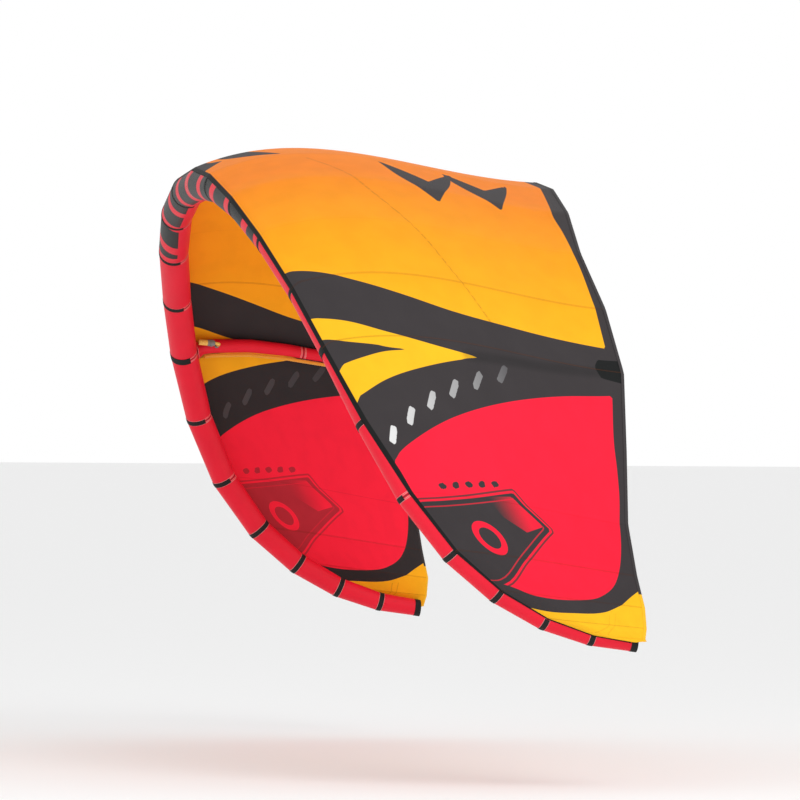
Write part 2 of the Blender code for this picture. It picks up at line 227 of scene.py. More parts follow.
def newGroup(name, inputs, outputs):
    group = bpy.data.node_groups.new(name, "ShaderNodeTree")
    for label, kind, value in inputs:
        socket = group.interface.new_socket(label, in_out="INPUT", socket_type=kind)
        if value is not None:
            socket.default_value = value
    for label, kind in outputs:
        group.interface.new_socket(label, in_out="OUTPUT", socket_type=kind)
    return group, group.nodes.new("NodeGroupInput"), group.nodes.new("NodeGroupOutput")


def makeRipstop():
    group, given, result = newGroup(
        "ripstopWeave", [("Vector", "NodeSocketVector", None), ("Cell", "NodeSocketFloat", 0.005)],
        [("Height", "NodeSocketFloat"), ("Shade", "NodeSocketFloat")])
    parts = addNode(group, "ShaderNodeSeparateXYZ")
    group.links.new(given.outputs["Vector"], parts.inputs[0])
    ridges = []
    for axis in (0, 1):
        cells = calc(group, "DIVIDE", parts.outputs[axis], given.outputs["Cell"])
        ridges.append(remap(group, awayFrom(group, calc(group, "FRACT", cells), 0.5), 0.40, 0.5))
    ridge = calc(group, "MAXIMUM", *ridges)
    creases = addNode(group, "ShaderNodeTexNoise")
    group.links.new(given.outputs["Vector"], creases.inputs["Vector"])
    creases.inputs["Scale"].default_value, creases.inputs["Detail"].default_value = 7.0, 4.0
    fine = addNode(group, "ShaderNodeTexNoise")
    group.links.new(given.outputs["Vector"], fine.inputs["Vector"])
    fine.inputs["Scale"].default_value = 900.0
    height = calc(group, "ADD", calc(group, "MULTIPLY", ridge, 0.25),
                  calc(group, "MULTIPLY", fine.outputs[0], 0.35))
    group.links.new(calc(group, "ADD", height, calc(group, "MULTIPLY", creases.outputs[0], 1.6)),
                    result.inputs["Height"])
    group.links.new(remap(group, creases.outputs[0], 0.25, 0.75, 0.93, 1.05), result.inputs["Shade"])
    return group


def makeStitchRow():
    group, given, result = newGroup(
        "stitchRow", [("Across", "NodeSocketFloat", 0.0), ("Along", "NodeSocketFloat", 0.0),
                      ("Offset", "NodeSocketFloat", 0.008), ("Pitch", "NodeSocketFloat", 0.006)],
        [("Mask", "NodeSocketFloat")])
    off = calc(group, "ABSOLUTE", calc(group, "SUBTRACT", given.outputs["Across"], given.outputs["Offset"]))
    line = remap(group, off, 0.0007, 0.0016, 1.0, 0.0)     # the thread's half width
    beat = calc(group, "FRACT", calc(group, "DIVIDE", given.outputs["Along"], given.outputs["Pitch"]))
    dash = remap(group, awayFrom(group, beat, 0.5), 0.28, 0.36, 1.0, 0.0)
    group.links.new(calc(group, "MULTIPLY", line, dash), result.inputs["Mask"])
    return group


ripstopGroup = makeRipstop()
stitchGroup = makeStitchRow()


def newFinish(name, roughness, specular=0.3, sheen=0.0):
    mat = bpy.data.materials.new(name)
    mat.use_nodes = True
    tree = mat.node_tree
    shader = tree.nodes["Principled BSDF"]
    shader.inputs["Roughness"].default_value = roughness
    shader.inputs["Sheen Weight"].default_value = sheen
    shader.inputs["Specular IOR Level"].default_value = specular
    return mat, tree, shader


def addBump(tree, shader, height, distance, strength=0.5):
    node = addNode(tree, "ShaderNodeBump")
    node.inputs["Distance"].default_value = distance
    node.inputs["Strength"].default_value = strength
    tree.links.new(height, node.inputs["Height"])
    tree.links.new(node.outputs[0], shader.inputs["Normal"])


def useWeave(tree, cell):
    where = addNode(tree, "ShaderNodeUVMap", uv_map="cloth")
    weave = addNode(tree, "ShaderNodeGroup", node_tree=ripstopGroup)
    weave.inputs["Cell"].default_value = cell
    tree.links.new(where.outputs[0], weave.inputs["Vector"])
    return weave, where


def shadeByWeave(tree, weave, colour, amount):
    shade = addNode(tree, "ShaderNodeCombineColor")
    for socket in shade.inputs:
        tree.links.new(weave.outputs["Shade"], socket)
    return mixColour(tree, amount, colour, shade.outputs[0], "MULTIPLY")


def useStitches(tree, across, along, offset, pitch):
    row = addNode(tree, "ShaderNodeGroup", node_tree=stitchGroup)
    row.inputs["Offset"].default_value, row.inputs["Pitch"].default_value = offset, pitch
    tree.links.new(across, row.inputs["Across"])
    tree.links.new(along, row.inputs["Along"])
    return row.outputs[0]


# colours of the cloth seen from outside, and painted light for the inside of the arch: there the orange and
# red are raised for light shining through the cloth, and the print that shows through is painted darker as
# its shadow
clothColours = {
    "crest": (0.90, 0.235, 0.012), "middle": (0.95, 0.39, 0.010), "low": (0.97, 0.52, 0.018),
    "dark": (0.048, 0.042, 0.044), "red": (0.95, 0.018, 0.048), "tube": (0.82, 0.010, 0.034),
    "black": (0.014, 0.015, 0.015), "thread": (0.72, 0.67, 0.63),
    "seamShade": (0.25, 0.06, 0.01), "seamThread": (0.18, 0.06, 0.02),
    "barLight": (0.78, 0.78, 0.78), "barDark": (0.10, 0.095, 0.10),
}
paintedLightInsideColours = {**clothColours, "crest": (1.0, 0.33, 0.012), "middle": (1.0, 0.345, 0.010),
                 "low": (1.0, 0.46, 0.014), "dark": (0.036, 0.031, 0.032), "red": (1.0, 0.020, 0.052),
                 "barLight": (0.085, 0.078, 0.082), "barDark": (0.060, 0.054, 0.057)}

# colour blocks, each a run of (station, share of the chord) points; both wings are alike
liveryShapes = {
    "darkUnder": [
        [(3.72, -0.09), (3.83, 0.015), (4.11, 0.157), (4.36, 0.307), (4.52, 0.443), (4.60, 0.66),
         (4.64, 0.969), (4.66, 1.05), (8.30, 1.05), (8.66, 0.948), (9.05, 0.83), (9.43, 0.669),
         (9.64, 0.322), (9.68, 0.10), (9.55, -0.09)],
        [(-0.1, 0.968), (1.1, 0.966), (1.8, 0.957), (2.1, 0.953), (2.5, 0.968), (3.1, 0.982),
         (4.0, 0.972), (4.8, 0.965), (4.8, 1.05), (-0.1, 1.05)],
        [(-0.1, 0.055), (-0.1, 0.13), (0.5, 0.175), (0.9, 0.20), (0.62, 0.12), (0.3, 0.07)],
        [(-0.1, -0.09), (-0.1, 0.03), (0.15, 0.03), (0.35, 0.055), (0.62, 0.0), (0.72, -0.09)],
        [(1.1, 0.47), (1.7, 0.50), (2.35, 0.585), (1.7, 0.655), (1.1, 0.69), (1.7, 0.59)],
        [(1.1, 0.66), (1.5, 0.68), (2.2, 0.79), (1.5, 0.84), (1.1, 0.86), (1.55, 0.77)],
    ],
    "yellow": [
        [(4.50, -0.09), (4.71, 0.063), (4.93, 0.184), (5.07, 0.317), (5.16, 0.478), (5.35, 0.29),
         (5.54, 0.115), (5.72, 0.0), (5.85, -0.09)],
    ],
    "red": [
        [(6.70, -0.09), (6.58, 0.0), (6.48, 0.035), (6.29, 0.13), (5.95, 0.33), (5.64, 0.572),
         (5.43, 0.78), (5.31, 0.962), (5.92, 0.959), (6.27, 0.967), (6.72, 0.972), (7.41, 0.955),
         (7.93, 0.915), (8.45, 0.84), (8.83, 0.708), (8.97, 0.585), (9.06, 0.216), (8.85, 0.09),
         (8.72, -0.09)],
    ],
    "darkOver": [
        [(4.85, -0.09), (4.97, 0.0), (5.03, 0.045), (5.10, 0.13), (5.17, 0.228), (5.19, 0.15),
         (5.24, 0.077), (5.30, 0.0), (5.40, -0.09)],
        [(7.22, -0.09), (7.18, 0.0), (7.14, 0.10), (7.05, 0.24), (6.87, 0.468), (7.40, 0.589),
         (7.97, 0.384), (8.80, 0.073), (8.86, -0.09)],
    ],
    "patch": [[(4.84, 0.925), (4.80, 1.05), (5.16, 1.05), (5.10, 0.925), (4.97, 0.905)]],
    "glow": [[(6.98, 0.33), (6.925, 0.455), (7.36, 0.555), (7.52, 0.45), (7.30, 0.36)]],
}

# short strokes: dashes above the dark diamond, and slanted bars that fade along the wing
strokes = {
    "dashes": {"count": 5, "first": 0.136, "pitch": 0.062, "half": 0.015,
               "lean": ((0.010, 0), (-0.010, 0.016)), "path": ((0.121, 6.915), (0.521, 6.735))},
    "bars": {"count": 6, "first": 0.045, "pitch": 0.102, "half": 0.016,
             "lean": ((-0.085, 0.015), (0.085, -0.015)),
             "path": ((0, 6.36), (0.178, 5.92), (0.322, 5.66), (0.453, 5.46), (0.583, 5.28))},
}
# painted shade along the crease the strut makes in the cloth
strutCreaseShadePath = [(5.16, 0.44), (5.14, 0.52), (5.10, 0.706), (5.03, 0.933), (5.01, 1.05)]
ringMark = {"station": 7.72, "share": 0.225, "radius": 0.074, "width": 0.017,
            "squash": (1.0, 0.82)}
sewnLines = [
    [(1.2, 0.25), (1.8, 0.325), (2.37, 0.375), (3.2, 0.464), (3.82, 0.507), (4.18, 0.537),
     (4.6, 0.572)],
    [(9.46, 0.760), (10.0, 0.68), (10.4, 0.56), (10.85, 0.352)],
    [(9.51, 0.700), (10.0, 0.62), (10.4, 0.46), (10.78, 0.176)],
]


def strokeLines(stroke):
    lines = []
    for number in range(stroke["count"]):
        s = stroke["first"] + number * stroke["pitch"]
        u = np.interp(s, *zip(*stroke["path"]))
        lines.append([(u + du, s + ds) for du, ds in stroke["lean"]])
    return lines


def flatPlace(points):
    xs = np.interp(points[:, 0], np.arange(panelCount + 1), seamMarks, left=-0.1)
    xs += np.minimum(points[:, 0], 0) * kiteShape["panels"][0]
    return np.stack([xs, points[:, 1] * kiteShape["chordScale"]], 1)


def smoothRun(corners, closed, steps=6, sharp=0.80):
    count, found = len(corners), []                   # only a bend softer than sharp is rounded
    for i in range(count if closed else count - 1):
        before, a, b, after = (corners[k % count] for k in (i - 1, i, i + 1, i + 2))
        before = a if not closed and i == 0 else before
        after = b if not closed and i == count - 2 else after
        ways = [(w / max(np.hypot(*w), 1e-9)) for w in (a - before, b - a, after - b)]
        reach = np.hypot(*(b - a))
        leave, arrive = ((ways[k] + ways[k + 1]) / 2 if ways[k] @ ways[k + 1] > sharp else ways[1]
                         for k in (0, 1))
        for t in np.arange(steps) / steps:
            found.append((2 * t ** 3 - 3 * t ** 2 + 1) * a + (t ** 3 - 2 * t ** 2 + t) * reach * leave
                         + (3 * t ** 2 - 2 * t ** 3) * b + (t ** 3 - t ** 2) * reach * arrive)
    return np.array(found if closed else found + [corners[-1]])


def edgeDistance(at, corners, closed=True):
    corners = smoothRun(flatPlace(np.array(corners, float)), closed)
    nearest, inside = np.full(len(at), 1e9), np.zeros(len(at), bool)
    pairs = list(zip(corners, np.roll(corners, -1, 0))) if closed else list(zip(corners, corners[1:]))
    for a, b in pairs:
        way = b - a
        t = np.clip(((at - a) @ way) / (way @ way), 0, 1)
        nearest = np.minimum(nearest, np.hypot(*(at - a - t[:, None] * way).T))
        if a[1] != b[1]:
            crosses = (a[1] > at[:, 1]) != (b[1] > at[:, 1])
            meets = (b[0] - a[0]) * (at[:, 1] - a[1]) / (b[1] - a[1]) + a[0]
            inside ^= crosses & (at[:, 0] < meets)
    return np.where(inside, -nearest, nearest) if closed else nearest


def writeValues(mesh, name, values):
    layer = mesh.attributes.new(name, "FLOAT", "POINT")
    layer.data.foreach_set("value", np.asarray(values, np.float32))


def finishPiece(bm, name, finish):
    for face in bm.faces:
        face.smooth = True
    mesh = bpy.data.meshes.new(name)
    bm.to_mesh(mesh)
    bm.free()
    mesh.materials.append(finish)
    piece = bpy.data.objects.new(name, mesh)
    bpy.context.scene.collection.objects.link(piece)
    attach(piece, "kite")
    return piece


def mappedGrid(across, along, place, uvPlace):
    bm = bmesh.new()                                  # a flat grid, bent to its place point by point
    bmesh.ops.create_grid(bm, x_segments=across, y_segments=along, size=0.5)
    uv = bm.loops.layers.uv.new("cloth")
    flat = {vert: (vert.co.x + 0.5, vert.co.y + 0.5) for vert in bm.verts}
    for face in bm.faces:
        for loop in face.loops:
            loop[uv].uv = uvPlace(*flat[loop.vert])
    order = [flat[vert] for vert in bm.verts]
    for vert, (x, y) in zip(list(bm.verts), order):
        vert.co = place(x, y)
    return bm, order


def closeRound(bm):
    bmesh.ops.remove_doubles(bm, verts=bm.verts[:], dist=1e-5)
    bmesh.ops.recalc_face_normals(bm, faces=bm.faces[:])


def thicken(piece, thickness, offset=1.0):
    wall = piece.modifiers.new("wall", "SOLIDIFY")
    wall.thickness, wall.offset, wall.use_even_offset = thickness, offset, False
    return piece


# canopy, one curved sheet from tip to tip
canopyCloth = {"columns": 408, "rows": 114, "lap": 0.06, "thickness": 0.0010, "flatDepth": 1.75,
               "edge": 0.0012, "tape": 0.023, "weave": 0.006, "insideInk": 0.55, "clothPerChord": 1.6}


def canopyShare(y):
    lap = canopyCloth["lap"]
    return (y - lap) / (1 - lap) if y > lap else -kiteShape["lapShare"] * (1 - y / lap)


def clothRamp(tree, where, stops, colours):
    node = addNode(tree, "ShaderNodeValToRGB")
    ends = node.color_ramp.elements
    while len(ends) < len(stops):
        ends.new(0.5)
    for end, (at, key) in zip(ends, stops):
        end.position, end.color = at, (*colours[key], 1)
    tree.links.new(where, node.inputs[0])
    return node.outputs[0]


def printLivery(tree, colours, ink):
    edge = canopyCloth["edge"]

    def covered(name, strength=1.0, reach=0.0):
        return remap(tree, readValue(tree, name), reach - edge, reach + edge, strength, 0.0)

    def outline(middle, thin, thick, strength):
        line = remap(tree, awayFrom(tree, readValue(tree, "diamond"), middle), thin, thick, 1.0, 0.0)
        return calc(tree, "MULTIPLY", line, strength * ink)

    stops = ((0.0, "crest"), (0.14, "crest"), (0.30, "middle"), (0.46, "low"), (0.80, "low"))
    along = calc(tree, "DIVIDE", readValue(tree, "station"), panelCount)
    share = readValue(tree, "share")
    colour = clothRamp(tree, along, stops, colours)
    for name, paint, strength in (("darkUnder", "dark", 1.0), ("yellow", "low", 1.0), ("red", "red", 1.0),
                                  ("darkOver", "dark", ink), ("dashes", "dark", ink)):
        colour = mixColour(tree, covered(name, strength), colour, colours[paint])
    glow = calc(tree, "MULTIPLY", covered("glow"), remap(tree, share, 0.33, 0.54))
    colour = mixColour(tree, glow, colour, colours["red"])
    colour = mixColour(tree, outline(-0.028, 0.002, 0.0045, 0.55), colour, colours["red"])
    colour = mixColour(tree, outline(0.016, 0.0035, 0.006, 0.85), colour, colours["dark"])
    colour = mixColour(tree, covered("ring"), colour, colours["red"])
    fade = clothRamp(tree, calc(tree, "MULTIPLY", share, 1.7), ((0, "barLight"), (1, "barDark")), colours)
    colour = mixColour(tree, covered("bars"), colour, fade)
    # painted shade: the cloth darkens up to a third of the way to black along the strut crease
    creaseShadeAmount = remap(tree, readValue(tree, "paintedCreaseShade"), 0.004, 0.045, 0.34, 0.0)
    colour = mixColour(tree, creaseShadeAmount, colour, colours["black"])
    for name, reach in (("edgeGap", canopyCloth["tape"]), ("patch", 0.0)):
        colour = mixColour(tree, covered(name, 1.0, reach), colour, colours["black"])
    return colour


def makeCanopyFinish(name, colours, ink):
    mat, tree, shader = newFinish(name, 0.55, specular=0.06)
    weave, where = useWeave(tree, canopyCloth["weave"])
    metres = addNode(tree, "ShaderNodeSeparateXYZ")
    tree.links.new(where.outputs[0], metres.inputs[0])
    colour = printLivery(tree, colours, ink)
    seam, sewn = readValue(tree, "seamGap"), readValue(tree, "sewn")
    doubled = calc(tree, "MAXIMUM", remap(tree, seam, 0.007, 0.009, 1.0, 0.0),
                   remap(tree, sewn, 0.005, 0.007, 1.0, 0.0))       # two layers of cloth at a seam
    darker = calc(tree, "MULTIPLY", doubled, 0.16)
    colour = mixColour(tree, darker, colour, colours["seamShade"], "MULTIPLY")
    row = calc(tree, "MAXIMUM", useStitches(tree, seam, metres.outputs[1], 0.005, 0.007),
               useStitches(tree, sewn, metres.outputs[0], 0.003, 0.007))
    colour = mixColour(tree, calc(tree, "MULTIPLY", row, 0.30), colour, colours["seamThread"])
    tree.links.new(shadeByWeave(tree, weave, colour, 0.6), shader.inputs["Base Color"])
    height = calc(tree, "ADD", weave.outputs["Height"], calc(tree, "MULTIPLY", doubled, 0.5))
    addBump(tree, shader, height, 0.0010, 0.35)
    return mat


def writeLivery(mesh, spots):
    at = flatPlace(spots)
    writeValues(mesh, "station", spots[:, 0])
    writeValues(mesh, "share", spots[:, 1])
    for name, shapes in liveryShapes.items():
        writeValues(mesh, name, np.min([edgeDistance(at, shape) for shape in shapes], 0))
    for name, stroke in strokes.items():
        away = [edgeDistance(at, line, False) for line in strokeLines(stroke)]
        writeValues(mesh, name, np.min(away, 0) - stroke["half"])
    writeValues(mesh, "diamond", edgeDistance(at, liveryShapes["darkOver"][1]))
    middle = flatPlace(np.array([[ringMark["station"], ringMark["share"]]]))[0]
    away = np.hypot(*((at - middle) * ringMark["squash"]).T)
    writeValues(mesh, "ring", np.abs(away - ringMark["radius"]) - ringMark["width"])
    writeValues(mesh, "sewn", np.min([edgeDistance(at, line, False) for line in sewnLines], 0))
    writeValues(mesh, "paintedCreaseShade", edgeDistance(at, strutCreaseShadePath, False))
    writeValues(mesh, "edgeGap", [lapLeft(v, s) for v, s in spots])
    seams = np.interp(np.round(spots[:, 0]), np.arange(panelCount + 1), seamMarks)
    writeValues(mesh, "seamGap", np.abs(at[:, 0] - seams))


def makeCanopy():
    def place(x, y):
        return canopyPoint((x - 0.5) * 2 * clothEnd, canopyShare(y))

    def uvPlace(x, y):
        v = (x - 0.5) * 2 * clothEnd
        return (math.copysign(spanMetres(v), v), canopyShare(y) * canopyCloth["clothPerChord"])

    bm, order = mappedGrid(canopyCloth["columns"], canopyCloth["rows"], place, uvPlace)
    area = sum(face.calc_area() for face in bm.faces)
    bmesh.ops.recalc_face_normals(bm, faces=bm.faces[:])
    bm.normal_update()
    top = max(bm.faces, key=lambda face: face.calc_center_median().z)
    if top.normal.z < 0:
        bmesh.ops.reverse_faces(bm, faces=bm.faces[:])
    piece = finishPiece(bm, "canopySkin", makeCanopyFinish("canopyCloth", clothColours, 1.0))
    # the inside finish carries painted light: brighter cloth for light shining through, and the print shown
    # through at reduced strength
    inside = makeCanopyFinish("canopyInsidePaintedLight", paintedLightInsideColours, canopyCloth["insideInk"])
    piece.data.materials.append(inside)
    spots = [(abs(x - 0.5) * 2 * clothEnd, canopyShare(y)) for x, y in order]
    writeLivery(piece.data, np.array(spots))
    thicken(piece, canopyCloth["thickness"]).modifiers["wall"].material_offset = 1
    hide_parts(*[f"canopy_{side}_{n}" for side in ("left", "right") for n in range(1, 5)])
    print("canopy sheet made, flat area", round(area, 2))


makeCanopy()


# leading-edge tube
tubeCloth = {"columns": 384, "sides": 48, "wall": 0.0010, "pinch": 0.0012, "pinchReach": 0.010,
             "blockPitch": 0.285, "blockLean": 0.45, "blockEnd": 1.28, "blockMiddle": 0.020,
             "blockHalf": 0.104, "weave": 0.004}


def tubeSurface(v, angle, lift=0.0):
    a, b, t = panelOf(v)
    reach = min(t, 1 - t) * kiteShape["panels"][min(int(abs(v)), panelCount - 1)]
    pinch = tubeCloth["pinch"] * math.exp(-(reach / tubeCloth["pinchReach"]) ** 2)
    pinned = 0 if abs(v) > panelCount - 0.3 or abs(v) < 0.02 else pinch
    pa, pb = (tubePoint(rib, angle, rib["radius"] - pinned + lift) for rib in (a, b))
    return bothSides(pa.lerp(pb, t), v)


def makeTubeFinish():
    mat, tree, shader = newFinish("tubeCloth", 0.45, specular=0.22)
    weave, where = useWeave(tree, tubeCloth["weave"])
    parts = addNode(tree, "ShaderNodeSeparateXYZ")
    tree.links.new(where.outputs[0], parts.inputs[0])
    alongSpan, girth = parts.outputs[0], parts.outputs[1]
    end, half = tubeCloth["blockEnd"], tubeCloth["blockHalf"]     # slanted black blocks in the middle
    slant = calc(tree, "MULTIPLY_ADD", girth, tubeCloth["blockLean"], alongSpan)
    beat = calc(tree, "FRACT", calc(tree, "DIVIDE", slant, tubeCloth["blockPitch"]))
    blocks = remap(tree, awayFrom(tree, beat, 0.5), 0.355, 0.365, 1.0, 0.0)
    reach = remap(tree, calc(tree, "ABSOLUTE", alongSpan), end, end + 0.005, 1.0, 0.0)
    front = remap(tree, awayFrom(tree, girth, tubeCloth["blockMiddle"]), half, half + 0.002, 1.0, 0.0)
    block = calc(tree, "MULTIPLY", calc(tree, "MULTIPLY", blocks, reach), front)
    colour = mixColour(tree, block, clothColours["tube"], clothColours["black"])
    seam = readValue(tree, "seamGap")
    colour = mixColour(tree, remap(tree, seam, 0.002, 0.0035, 0.75, 0.0), colour, clothColours["black"])
    rows = calc(tree, "MAXIMUM", *(useStitches(tree, seam, girth, off, 0.006) for off in (0.008, 0.013)))
    colour = mixColour(tree, calc(tree, "MULTIPLY", rows, 0.7), colour, clothColours["thread"])
    tree.links.new(shadeByWeave(tree, weave, colour, 0.6), shader.inputs["Base Color"])
    folds = remap(tree, seam, 0.0, 0.016, 1.0, 0.0)
    height = calc(tree, "ADD", weave.outputs["Height"], calc(tree, "MULTIPLY", folds, 0.7))
    addBump(tree, shader, height, 0.0012, 0.4)
    return mat


tubeFinish = makeTubeFinish()


def makeTube():
    def place(x, y):
        return tubeSurface((x - 0.5) * 2 * panelCount, y * 2 * math.pi)

    def uvPlace(x, y):
        v = (x - 0.5) * 2 * panelCount
        a, b, t = panelOf(v)
        radius = a["radius"] * (1 - t) + b["radius"] * t
        return (math.copysign(spanMetres(v), v), (y - 0.5) * 2 * math.pi * radius)

    bm, order = mappedGrid(tubeCloth["columns"], tubeCloth["sides"], place, uvPlace)
    gap = bm.verts.layers.float.new("seamGap")
    for vert, (x, y) in zip(list(bm.verts), order):
        v = abs(x - 0.5) * 2 * panelCount
        vert[gap] = abs(spanMetres(v) - seamMarks[min(round(v), panelCount)])
    closeRound(bm)
    piece = finishPiece(bm, "leadingEdgeTube", tubeFinish)
    thicken(piece, tubeCloth["wall"], -1.0)
    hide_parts(*[f"le_sleeve_{side}_{n}" for side in ("left", "right") for n in range(1, 7)])


makeTube()
print("leading edge made")


# struts
strutBuild = {"front": 0.038, "rear": 0.021, "end": 0.955, "seam": 0.0012, "drop": 0.006,
              "sides": 40, "rows": 48, "wall": 0.0010, "clear": 0.0024, "uvStart": 20.0, "uvRadius": 0.03}


def clothUnder(rib, s):
    steps = kiteShape["chordSteps"]
    i = min(int(s * steps), steps - 1)
    return skinPoint(rib, i / steps, 0).lerp(skinPoint(rib, (i + 1) / steps, 0), s * steps - i)


def strutFrame(rib, t):
    radius = strutBuild["front"] + (strutBuild["rear"] - strutBuild["front"]) * t
    chord = rib["trailing"] - tubePoint(rib, rib["seam"], rib["radius"] + kiteShape["gap"])
    along = (chord - rib["normal"] * chord.dot(rib["normal"])).normalized()
    across = along.cross(rib["normal"])
    drop = strutBuild["seam"] + strutBuild["drop"] * max(0.0, 1 - t * kiteShape["chordSteps"] / 4)
    return clothUnder(rib, t) - rib["normal"] * (radius + drop), radius, along, across, rib["normal"]


def strutRows(rib):
    nose = rib["radius"] / rib["chord"]
    return [0.35 * nose, nose + 0.05, *(i / kiteShape["chordSteps"] for i in (2, 4, 6, 8, *range(9, 14))),
            strutBuild["end"]]


def clearOfTube(point, along, rib, radius):
    rel = point - rib["centre"]
    rel -= rib["tangent"] * rel.dot(rib["tangent"])
    flat = along - rib["tangent"] * along.dot(rib["tangent"])
    a, b, c = flat.dot(flat), 2 * rel.dot(flat), rel.dot(rel) - radius ** 2
    inside = b * b - 4 * a * c
    if (c >= 0 and b >= 0) or inside < 0:
        return point
    return point + along * ((-b + math.sqrt(inside)) / (2 * a))


def makeStrut(name, rib, sign):
    rows = strutRows(rib)

    def ringPoint(t, angle):
        centre, radius, along, across, up = strutFrame(rib, t)
        point = centre + (across * math.cos(angle) + up * math.sin(angle)) * radius
        if t < rows[1] - 1e-6:                        # the front ring is fitted to the tube
            point = clearOfTube(point, along, rib, rib["radius"] + strutBuild["clear"])
        return point

    def place(x, y):
        t = rows[0] + (rows[-1] - rows[0]) * x
        i = max(k for k in range(len(rows) - 1) if rows[k] <= t + 1e-9)
        share = (t - rows[i]) / (rows[i + 1] - rows[i])
        a, b = ringPoint(rows[i], y * 2 * math.pi), ringPoint(rows[i + 1], y * 2 * math.pi)
        return bothSides(a.lerp(b, share), sign)

    def uvPlace(x, y):                                # well away from the blocks of the tube
        return ((x - 0.3) * rib["chord"] + strutBuild["uvStart"],
                (y - 0.25) * 2 * math.pi * strutBuild["uvRadius"])

    bm, order = mappedGrid(strutBuild["rows"], strutBuild["sides"], place, uvPlace)
    gap = bm.verts.layers.float.new("seamGap")
    for vert, (x, y) in zip(list(bm.verts), order):
        vert[gap] = min(abs(x - s) for s in (0.0, 0.5, 1.0)) * rib["chord"]
    closeRound(bm)
    piece = finishPiece(bm, f"strutTube_{name}", tubeFinish)
    thicken(piece, strutBuild["wall"], -1.0)
    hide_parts(f"strut_sleeve_{name}")


strutPlaces = {"centre": (ribs[0], 1), "right": (ribs[5], 1), "left": (ribs[5], -1)}
for strutName, (strutRib, strutSign) in strutPlaces.items():
    makeStrut(strutName, strutRib, strutSign)
print("struts made")


# finishes for moulded pieces and for woven tape
def makeMouldedFinish(name, colour, roughness, grain, depth):
    mat, tree, shader = newFinish(name, roughness)
    where = addNode(tree, "ShaderNodeTexCoord")
    speck = addNode(tree, "ShaderNodeTexNoise")
    speck.inputs["Scale"].default_value, speck.inputs["Detail"].default_value = grain, 5.0
    tree.links.new(where.outputs["Object"], speck.inputs["Vector"])
    low, high = tuple(c * 0.82 for c in colour), tuple(min(c * 1.12, 1) for c in colour)
    mottled = mixColour(tree, remap(tree, speck.outputs[0], 0.3, 0.7), low, high)
    tree.links.new(mottled, shader.inputs["Base Color"])
    tree.links.new(remap(tree, speck.outputs[0], 0.2, 0.8, roughness - 0.08, roughness + 0.08),
                   shader.inputs["Roughness"])
    addBump(tree, shader, speck.outputs[0], depth, 0.35)
    return mat


def makeWebbingFinish(name, colour, cell, tipColour=None):
    mat, tree, shader = newFinish(name, 0.68, specular=0.2)
    weave = useWeave(tree, cell)[0]
    if tipColour:
        colour = mixColour(tree, remap(tree, readValue(tree, "station"), 8.56, 8.60), colour, tipColour)
    tree.links.new(shadeByWeave(tree, weave, colour, 0.8), shader.inputs["Base Color"])
    addBump(tree, shader, weave.outputs["Height"], 0.0008, 0.5)
    return mat


trimFinish = makeWebbingFinish("trimWebbing", clothColours["black"], 0.0022)
hemFinish = makeWebbingFinish("hemTape", clothColours["dark"], 0.0022, clothColours["low"])


# trim: pads on the tube's seams, collars, hems, tube ends and caps
def addPatch(bm, across, along, place):
    patch = bmesh.new()
    bmesh.ops.create_grid(patch, x_segments=across, y_segments=along, size=0.5)
    uv = patch.loops.layers.uv.new("cloth")
    for face in patch.faces:
        for loop in face.loops:
            loop[uv].uv = (loop.vert.co.x * 0.1, loop.vert.co.y * 0.3)
    for vert in patch.verts:
        vert.co = place(vert.co.x + 0.5, vert.co.y + 0.5)
    bmesh.ops.recalc_face_normals(patch, faces=patch.faces[:])
    skin = bpy.data.meshes.new("patch")
    patch.to_mesh(skin)
    patch.free()
    bm.from_mesh(skin)
    bpy.data.meshes.remove(skin)


def faceAway(bm, centreOf):
    bm.normal_update()
    for face in bm.faces:
        middle = face.calc_center_median()
        if face.normal.dot(middle - centreOf(middle)) < 0:
            face.normal_flip()


def nearestRibCentre(point):
    side = -1 if point.x < 0 else 1
    spots = [Vector((side * rib["centre"].x, rib["centre"].y, rib["centre"].z)) for rib in ribs]
    best = None
    for a, b in zip(spots, spots[1:]):
        t = max(0.0, min(1.0, (point - a).dot(b - a) / (b - a).length_squared))
        spot = a.lerp(b, t)
        if best is None or (point - spot).length < (point - best).length:
            best = spot
    return best


padBuild = {"half": 0.012, "strutHalf": 0.019, "strutStation": 5, "proud": 0.0012,
            "short": (138, 292), "full": (88, 420), "lastShort": 7}     # degrees round the tube


def makePads(side):
    bm = bmesh.new()
    for station in range(1, panelCount):
        low, high = padBuild["short" if station <= padBuild["lastShort"] else "full"]
        half = padBuild["strutHalf" if station == padBuild["strutStation"] else "half"]
        before, after = kiteShape["panels"][station - 1], kiteShape["panels"][station]

        def place(x, y):
            step = (x - 0.5) * 2 * half
            v = station + (step / after if step > 0 else step / before)
            angle = math.radians(low + (high - low) * y)
            lift = kiteShape["gap"] + tubeCloth["pinch"] * (1 - abs(x - 0.5) * 2) * 0.6
            return tubeSurface(sideSigns[side] * v, angle, lift)

        addPatch(bm, 6, 24, place)
    faceAway(bm, nearestRibCentre)
    piece = finishPiece(bm, f"seamPads_{side}", trimFinish)
    thicken(piece, padBuild["proud"])


collarBuild = {"width": 0.030, "wall": 0.0009, "girth": 0.27}


def makeCollar(side):
    width, girth = collarBuild["width"], collarBuild["girth"]

    def place(x, y):
        v = panelCount - (1 - x) * width / kiteShape["panels"][-1]
        return tubeSurface(sideSigns[side] * v, y * 2 * math.pi, kiteShape["gap"])

    bm = mappedGrid(6, tubeCloth["sides"], place, lambda x, y: (x * width, y * girth))[0]
    closeRound(bm)
    faceAway(bm, nearestRibCentre)
    piece = finishPiece(bm, f"tipCollar_{side}", trimFinish)
    thicken(piece, collarBuild["wall"])
    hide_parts(f"tip_collar_{side}")


hemBuild = {"width": 0.0145, "overlap": 0.0045, "raised": 0.0018, "wall": 0.0022, "columns": 144}


